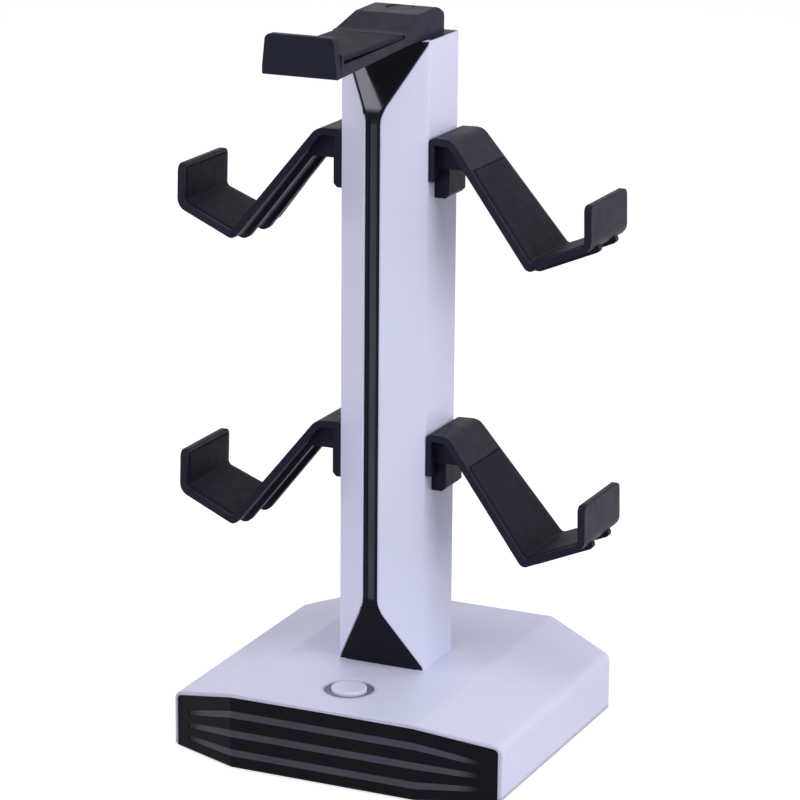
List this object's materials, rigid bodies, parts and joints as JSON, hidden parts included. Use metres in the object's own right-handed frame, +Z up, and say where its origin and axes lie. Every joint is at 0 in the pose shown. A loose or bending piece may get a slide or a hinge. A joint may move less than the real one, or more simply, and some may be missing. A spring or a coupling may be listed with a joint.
{
  "type": "game controller and headset stand",
  "caption": "Desk stand: faceted white base with a dark light-bar front and button, prow-shaped column, padded side hooks for controllers and a headset cradle on top.",
  "frame": {"origin": "on the table, in the middle of the stand's overall length and width", "axes": "+X across the stand to its right, +Y from the front panel to the back, +Z up"},
  "size_m": [0.1846, 0.1686, 0.3128],
  "materials": {
    "white_plastic": "satin moulded plastic",
    "black_plastic": "fine matte moulded plastic",
    "black_panel": "smooth matte plastic",
    "black_gloss": "polished plastic",
    "soft_pad": "soft matte pad",
    "light_bar": "smoked translucent plastic, unlit",
    "button_white": "satin moulded plastic",
    "ring_white": "frosted translucent plastic",
    "switch_black": "matte plastic",
    "circuit_board": "solder mask",
    "steel": "plated steel",
    "socket_steel": "plated steel",
    "foot_rubber": "matte rubber"
  },
  "bodies": {
    "stand": {"base_housing": "white_plastic", "base_bottom_cover": "black_plastic", "base_front_panel": "black_panel", "base_light_guide": "light_bar", "base_led_board": "circuit_board", "base_feet": "foot_rubber", "base_screws": "steel", "button_light_ring": "ring_white", "button_switch": "switch_black", "control_board": "circuit_board", "board_screws": "steel", "usb_board": "circuit_board", "usb_socket": "socket_steel", "column_shell": "white_plastic", "column_back_cover": "white_plastic", "column_front_panel": "black_gloss", "column_light_strip": "light_bar", "column_led_board": "circuit_board", "column_screws": "steel", "headset_cradle": "black_plastic", "cradle_pad": "soft_pad", "cradle_screws": "steel", "hook_screws": "steel", "hook_upper_left": "black_plastic", "hook_pad_upper_left": "soft_pad", "hook_upper_right": "black_plastic", "hook_pad_upper_right": "soft_pad", "hook_lower_left": "black_plastic", "hook_pad_lower_left": "soft_pad", "hook_lower_right": "black_plastic", "hook_pad_lower_right": "soft_pad"},
    "power_button": {"power_button": "button_white"}
  },
  "joints": [
    {"name": "button_press", "type": "slide", "parent": "stand", "child": "power_button", "axis": [0, 0.0091, -1], "range_m": [0, 0.0008], "stiffness_N_per_m": 2000}
  ]
}
